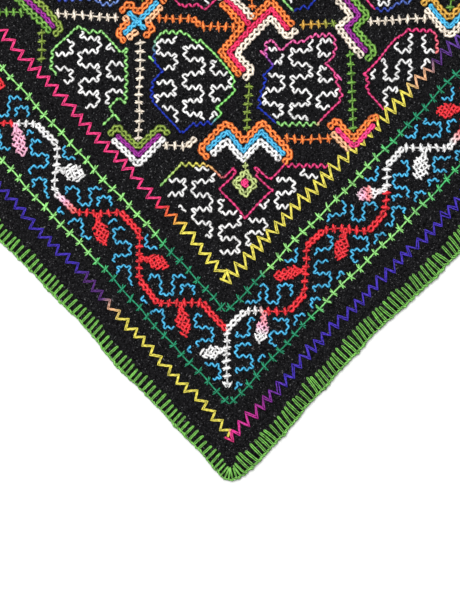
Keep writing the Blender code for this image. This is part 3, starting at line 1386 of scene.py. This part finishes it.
def island_work(column, level, bands):
    """The outline and the filler of the island in one cell of the lattice."""
    cell = [crossing(column + i, level + j) for i, j in ((0, 0), (1, 0), (1, 1), (0, 1))]
    polygon = island(cell, bands)
    if polygon is None or area_of(polygon) < SMALLEST_ISLAND:
        return [], []
    outline = open_outline(polygon)
    closed = len(outline) > len(polygon)
    shaped, spurs = notched(outline[:-1] if closed else outline, bands)
    shaped = eared(shaped, bands)
    run = pick(ISLAND_DYES, OTHER_ISLANDS, column, from_mid_line(level, TOP_LEVEL - 1))
    line = np.vstack((shaped, shaped[:1])) if closed else shaped
    yarns = outlined(line, run)
    for spur in spurs:
        yarns.append(strand(even(spur, 0.8), 1.35, run[len(run) // 2][1]))
    return yarns, filled(shaped, spread_along(line), across=column >= 1)


# ---------------------------------------------------------------- the field: the flower and its bay

FLOWER_MIDDLE = np.array((COLUMN_SHIFT, LEVELS[0] - 20.0))
BAY_START = (0, -16)  # the point under the flower
BAY_SIDES = {"left": "RU13 LU7 U4 RD6 RU7 R14 RD14", "right": "RU13 LU7 U4 RD6 RU7 R30"}
BAY_RIM = 5.0  # from the bay's outline to the field's side
BAY_DYES = ((0, "light green"), (0.16, "yellow"), (0.28, "hot pink"), (1, "hot pink"))
PETALS = 4
PETAL_RING = 4.6
PETAL_SWELL = 1.0
HEART_RING = 1.4
STEM_ENDS = (14.5, 6.4)  # above the flower's middle


def flower_bay():
    """The bay's outline round the flower, left to right, and the polygon of the field's corner below it."""
    right = FLOWER_MIDDLE + route(BAY_START, BAY_SIDES["right"])
    left = FLOWER_MIDDLE + route(BAY_START, BAY_SIDES["left"]) * (-1, 1)
    line = np.vstack((left[::-1], right[1:]))
    points = spread_along(line)
    line = runs_of(points, within_field(points, BAY_RIM), BAY_RIM)[0]
    corner = np.array((0.0, HALF_WAY - FIELD_REACH + BAY_RIM))
    return line, np.vstack((line, corner))


def flower():
    """A ring of pale petals round a pink heart, on a short stem."""
    turns = np.linspace(0, 2 * math.pi, 41)
    round_about = np.column_stack((np.cos(turns), np.sin(turns)))
    petals = PETAL_RING + PETAL_SWELL * np.cos(PETALS * turns)
    ring = FLOWER_MIDDLE + petals[:, None] * round_about
    heart = FLOWER_MIDDLE + HEART_RING * round_about
    stem = np.array([FLOWER_MIDDLE + (0, height) for height in STEM_ENDS])
    return (
        chain(ring, "pale olive", width=3.3, thick=1.5)
        + chain(heart, "hot pink", width=2.6, thick=1.3)
        + fishbone(stem, "pale olive")
    )


def turned_over(one):
    """The same yarn on the other side of the level mid-line."""
    points = one.points * (1, -1, 1) + (0, 2 * HALF_WAY, 0)
    return one._replace(points=points)


# ---------------------------------------------------------------- the field, put together


def field_work():
    """Every strand of the field, by the kind of work it is."""
    crossings = lattice()
    work = {"connectors": [], "open_chains": [], "close_chains": [], "outlines": [], "fillers": []}
    lines = {place: band_lines(*place, point) for place, point in crossings.items()}
    bands = np.concatenate([spread_along(line) for group in lines.values() for line in group])
    for place, group in lines.items():
        _, around, heart, within = pick(BANDS, OTHER_BANDS, place[0], from_mid_line(place[1]))
        rows, hearts = band(group, around, heart, within)
        work["open_chains"] += rows
        work["close_chains"] += hearts
    for level in range(len(LEVELS)):
        for column in COLUMNS:
            here = (column, level)
            neighbours = {"level": (column + 1, level)}
            if level + 1 < len(LEVELS):
                neighbours["upright"] = (column, level + 1)
            for name, other in neighbours.items():
                if here in crossings or other in crossings:
                    like = from_mid_line(level, TOP_LEVEL - (name == "upright"))
                    shade = ROAD_DYES.get((column, like, name))
                    shade = shade or OTHER_ROADS[(column + 2 * like) % len(OTHER_ROADS)]
                    run = RIPENING if shade == "ripening" else shade
                    work["connectors"] += road(crossing(*here), crossing(*other), run, bands)
            if level + 1 < len(LEVELS):
                outlines, fillers = island_work(column, level, bands)
                work["outlines"] += outlines
                work["fillers"] += fillers
    bay, corner = flower_bay()
    for kind, strands in (
        ("outlines", outlined(bay, BAY_DYES)),
        ("fillers", filled(corner, bay, False)),
        ("flower", flower()),
    ):
        work[kind] = work.get(kind, []) + strands + [turned_over(one) for one in strands]
    return work


# ---------------------------------------------------------------- finishes


def new_finish(name, sheen, specular):
    """A material's shader and a first signal to build on."""
    material = bpy.data.materials.new(name)
    material.use_nodes = True
    shader = material.node_tree.nodes["Principled BSDF"]
    shader.inputs["Sheen Weight"].default_value = sheen
    shader.inputs["Sheen Roughness"].default_value = 0.5
    shader.inputs["Specular IOR Level"].default_value = specular
    return material, shader, Signal(material.node_tree)


def feed(shader, socket, signal):
    """Links a signal into one of the shader's sockets."""
    signal.tree.links.new(signal.socket, shader.inputs[socket])


def mixed(start, share, one, two):
    """One colour passing into another."""
    return start.node("ShaderNodeMix", {"data_type": "RGBA"}, {0: share, 6: one, 7: two}, output=2)


def clouds(start, where, size, detail=2.0):
    """Soft noise, about 0 to 1, with features this many metres across."""
    return start.node("ShaderNodeTexNoise", {}, {"Vector": where, "Scale": 1 / size, "Detail": detail})


def bumped(start, height, depth, strength):
    """A normal from a height, 0 to 1, of this depth in metres."""
    return start.node("ShaderNodeBump", {}, {"Height": height, "Distance": depth, "Strength": strength})


PLY_TURN = 0.0026  # the length in which the two plies go once round
STREAK_LENGTH = 0.0011
STREAK_WIDTHS = 2.2  # how many streaks lie side by side across half a yarn
HIGHLIGHT_GAMMA = 0.58  # how pale the fibres are that catch the light
SHADED_DYE_GAMMA = 1.16  # painted shade: how deep the dye is painted between them
DYE_PATCHES = 0.0021  # the size of the patches where the dye has taken more or less
PAINTED_SIDE_SHADE, PAINTED_CROWN_LIGHT = 0.53, 0.63  # painted shade and light: how light the yarn's sides are painted, and how much lighter its top is painted
# shares of the yarn's tone: a base, painted shade in the grooves between the plies, the dye's uneven
# patches, and streaks of fibre that also carry painted sheen
BASE_LIGHT, PLY_PAINTED_SHADE, PATCH_LIGHT, STREAK_FIBRE_AND_SHEEN = 0.08, 0.44, 0.70, 0.76
BRIGHTEST = 1.30
YARN_GRAIN = 0.00030  # how deep the plies and fibres stand

WARP_GAP = 0.00062  # the width of two neighbouring threads
WEFT_GAP = 0.00058
COTTON_GRAIN = 0.0011
COTTON_RELIEF = 0.00018
LINT_SIZE = 0.00085
LINT_OVER = 0.775  # lint lies where the noise is over this
FLUFF_SIZE = 0.0006
FLUFF_OVER = 0.70
# the dark and pale ends of the cotton's tone: the grain's random tone, and painted shade in the weave's
# hollows with painted light on its raised threads
DARK_GRAIN_AND_HOLLOW_SHADE = (0.0003, 0.0003, 0.0005, 1)
PALE_GRAIN_AND_RAISED_LIGHT = (0.0125, 0.0122, 0.0136, 1)
LINT_COLOUR = (0.16, 0.16, 0.165, 1)


def yarn_finish():
    """Soft spun yarn: its own dye, a two-ply twist, streaks of fibre with painted sheen, painted highlights
    along its top, and painted shade down its sides and between its plies.

    crown is 1 along the yarn's top and underside and 0 down its sides, and plies rises over each ply.
    """
    material, shader, start = new_finish("yarn", 0.05, 0.18)
    shade = start.node("ShaderNodeAttribute", {"attribute_name": "dye"}, {})
    turn = start.node("ShaderNodeAttribute", {"attribute_name": "yarn_map"}, {}, output="Vector")
    around = start.node("ShaderNodeSeparateXYZ", {}, {"Vector": turn})
    along = around.also("Y")
    where = start.node("ShaderNodeTexCoord", {}, {}, output="Object")
    lay = around * (4 * math.pi) + along * (2 * math.pi / PLY_TURN)
    plies = lay.math("SINE", lay) * 0.5 + 0.5
    # painted light: 1 along the yarn's top and underside, which are painted lighter, and 0 down its sides,
    # which are painted darker
    crown_painted_light = around.math("COSINE", around * (4 * math.pi)) * 0.5 + 0.5
    across = around.math("SINE", around * (2 * math.pi)) * STREAK_WIDTHS
    streaked = start.node("ShaderNodeCombineXYZ", {}, {"X": across, "Y": along * (1 / STREAK_LENGTH)})
    # streaks of fibre, which also serve below as painted sheen in the colour
    streaks = clouds(start, streaked, 1.0) * 2.0 - 0.5
    uneven = clouds(start, where, DYE_PATCHES, 1.0) * 2.7 - 0.85
    # painted shade in the ply grooves and painted sheen along the streaks, with the dye's uneven patches
    fibre_tone_and_painted_light = BASE_LIGHT + PLY_PAINTED_SHADE * plies + PATCH_LIGHT * uneven + STREAK_FIBRE_AND_SHEEN * streaks
    # painted light and shade round the yarn: its sides painted darker and its top lighter, over the tone of
    # the fibre
    painted_light_and_tone = (PAINTED_SIDE_SHADE + PAINTED_CROWN_LIGHT * crown_painted_light) * fibre_tone_and_painted_light
    painted_light_and_tone = painted_light_and_tone.math("MINIMUM", painted_light_and_tone, BRIGHTEST)
    # a shaded copy and a pale highlight copy of the dye, mixed into painted highlights along the streaks of
    # the yarn's top
    shaded_dye = start.node("ShaderNodeGamma", {}, {"Color": shade, "Gamma": SHADED_DYE_GAMMA})
    highlight_dye = start.node("ShaderNodeGamma", {}, {"Color": shade, "Gamma": HIGHLIGHT_GAMMA})
    painted_highlight_colour = mixed(start, (crown_painted_light * streaks - 0.2) * 1.6, shaded_dye, highlight_dye)
    lit = start.node("ShaderNodeVectorMath", {"operation": "SCALE"}, {0: painted_highlight_colour, "Scale": painted_light_and_tone})
    feed(shader, "Base Color", lit)
    feed(shader, "Roughness", 0.74 + 0.16 * streaks)
    feed(shader, "Normal", bumped(start, plies * 0.7 + streaks * 0.3, YARN_GRAIN, 1.0))
    return material


def cotton_finish():
    """Black plain-woven cotton with pale lint in its grain."""
    material, shader, start = new_finish("black_cotton", 0.0, 0.05)
    where = start.node("ShaderNodeTexCoord", {}, {}, output="Object")
    x = start.node("ShaderNodeSeparateXYZ", {}, {"Vector": where})
    y = x.also("Y")
    warp = x.math("SINE", x * (2 * math.pi / WARP_GAP))
    weft = y.math("SINE", y * (2 * math.pi / WEFT_GAP))
    weave = warp * weft * 0.5 + 0.5
    grain = clouds(start, where, COTTON_GRAIN, 4.0) * 3.8 - 1.4
    lint = (clouds(start, where, LINT_SIZE, 0.0) > LINT_OVER) * 0.55
    fluff = (clouds(start, where, FLUFF_SIZE, 0.0) > FLUFF_OVER) * 0.16
    # painted shade and light: the weave's hollows painted darker and its raised threads lighter, mixed with
    # the grain's random tone
    depth = weave * 0.25 + grain * 0.75
    ground = mixed(start, depth, DARK_GRAIN_AND_HOLLOW_SHADE, PALE_GRAIN_AND_RAISED_LIGHT)
    feed(shader, "Base Color", mixed(start, lint + fluff, ground, LINT_COLOUR))
    feed(shader, "Roughness", 0.84 + 0.12 * grain)
    feed(shader, "Normal", bumped(start, weave * 0.6 + grain * 0.4, COTTON_RELIEF, 0.8))
    return material


def floor_finish():
    """Plain white paint."""
    material, shader, start = new_finish("floor", 0.0, 0.1)
    where = start.node("ShaderNodeTexCoord", {}, {}, output="Object")
    tint = mixed(start, clouds(start, where, 0.12), (0.90, 0.90, 0.90, 1), (0.93, 0.93, 0.93, 1))
    feed(shader, "Base Color", tint)
    shader.inputs["Roughness"].default_value = 0.9
    return material


# ---------------------------------------------------------------- the ground cloth

GROUND_INSET = 0.0009  # the cloth's own edge, inside the yarn that laps it
GROUND_CELLS = 110


def ground_sheet(material):
    """The black cloth: one thin sheet with rounded corners, lying on its stitched edge."""
    half = SIDE / 2 - GROUND_INSET
    radius = CORNER_RADIUS - GROUND_INSET
    mesh = bpy.data.meshes.new("black_cloth")
    work = bmesh.new()
    bmesh.ops.create_grid(work, x_segments=GROUND_CELLS, y_segments=GROUND_CELLS, size=half)
    flat = np.array([vertex.co[:2] for vertex in work.verts])
    over = np.maximum(np.abs(flat) - (half - radius), 0.0)
    pull = over.max(axis=1) / np.maximum(np.hypot(*over.T), 1e-9)
    both = over.min(axis=1) > 0
    rounded = np.where(both[:, None], np.sign(flat) * (half - radius + over * pull[:, None]), flat)
    back = cloth_back(*rounded.T)
    x, y = lie(*rounded.T)
    for vertex, place in zip(work.verts, np.column_stack((x, y, back))):
        vertex.co = place
    bmesh.ops.recalc_face_normals(work, faces=work.faces)
    if sum(face.normal.z for face in work.faces) > 0:
        bmesh.ops.reverse_faces(work, faces=work.faces)
    face_up = bmesh.ops.extrude_face_region(work, geom=work.faces[:], use_keep_orig=True)
    raised = [item for item in face_up["geom"] if isinstance(item, bmesh.types.BMVert)]
    bmesh.ops.translate(work, vec=(0, 0, CLOTH_THICK), verts=raised)
    bmesh.ops.recalc_face_normals(work, faces=work.faces)
    work.to_mesh(mesh)
    work.free()
    piece = smooth_piece("black_cloth", mesh, material)
    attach(piece, "root")
    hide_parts("ground_cloth")
    return piece


# ---------------------------------------------------------------- all of it

yarn = yarn_finish()
cloth = ground_sheet(cotton_finish())

edging = stitched("blanket_stitches", blanket_stitches(), yarn)
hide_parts("blanket_edging")

vine, leaves, vine_points, leaf_points = vine_and_leaves()
border_work = {
    "outer_zigzag": border_zigzags("outer zigzag", OUTER_ZIGZAG),
    "inner_zigzag": border_zigzags("inner zigzag", INNER_ZIGZAG),
    "outer_fishbone": border_fishbones("outer fishbone"),
    "inner_fishbone": border_fishbones("inner fishbone"),
    "vine": vine,
    "vine_leaves": leaves,
    "cyan_fillers": border_fillers(vine_points, leaf_points),
}
needlework = [stitched(name, strands, yarn) for name, strands in border_work.items()]

field = field_work()
fillers = field.pop("fillers")
needlework += [stitched("field_" + kind, strands, yarn, whole=True) for kind, strands in field.items()]
for name, is_upper in (("white_fillers_lower", False), ("white_fillers_upper", True)):
    strands = [one for one in fillers if (one.points[:, 1].mean() > HALF_WAY) == is_upper]
    needlework.append(stitched(name, strands, yarn, whole=True))

# ---------------------------------------------------------------- the table, the light and the camera

FLOOR_HALF = 2.5
SOFTBOX_PLACE = (-0.15, 0.45, 1.5)
SOFTBOX_SIZE = 1.0
SOFTBOX_POWER = 24
ROOM_LIGHT = 0.5  # the light that comes from all round


def add_floor(material):
    """A plain white table top."""
    mesh = bpy.data.meshes.new("floor")
    work = bmesh.new()
    bmesh.ops.create_grid(work, x_segments=1, y_segments=1, size=FLOOR_HALF)
    work.to_mesh(mesh)
    work.free()
    mesh.materials.append(material)
    floor = in_scene("floor", mesh)


CAMERA_HEIGHT = 1.2
VIEW_WIDTH = 0.2254
SENSOR = 36.0
CORNER_TURN = math.radians(45.685)  # the way from the corner to the middle of the view
CORNER_TO_VIEW = 0.0886
LIT_PLACE = (-0.2, -0.2, 0.0)  # where on the table the softbox points


def add_light(name, place, size, power):
    """A square softbox that faces the part of the cloth in view."""
    lamp = bpy.data.lights.new(name, "AREA")
    lamp.size = size
    lamp.energy = power
    light = in_scene(name, lamp)
    light.location = place
    light.rotation_euler = (Vector(place) - Vector(LIT_PLACE)).to_track_quat("Z", "Y").to_euler()


def add_camera():
    """A camera looking straight down on the corner, which points down in its view."""
    corner = lie(np.array(-SIDE / 2), np.array(-SIDE / 2))
    lens = bpy.data.cameras.new("camera")
    lens.sensor_fit = "HORIZONTAL"
    lens.sensor_width = SENSOR
    lens.lens = SENSOR * CAMERA_HEIGHT / VIEW_WIDTH
    camera = in_scene("camera", lens)
    camera.location = (
        float(corner[0]) + CORNER_TO_VIEW * math.cos(CORNER_TURN),
        float(corner[1]) + CORNER_TO_VIEW * math.sin(CORNER_TURN),
        CAMERA_HEIGHT,
    )
    camera.rotation_euler = (0, 0, CORNER_TURN - math.pi / 2)
    bpy.context.scene.camera = camera


add_floor(floor_finish())
add_light("softbox", SOFTBOX_PLACE, SOFTBOX_SIZE, SOFTBOX_POWER)
add_camera()

world = bpy.data.worlds.new("studio")
world.use_nodes = True
world.node_tree.nodes["Background"].inputs["Color"].default_value = (1, 1, 1, 1)
world.node_tree.nodes["Background"].inputs["Strength"].default_value = ROOM_LIGHT
bpy.context.scene.world = world
bpy.context.scene.view_settings.view_transform = "Standard"
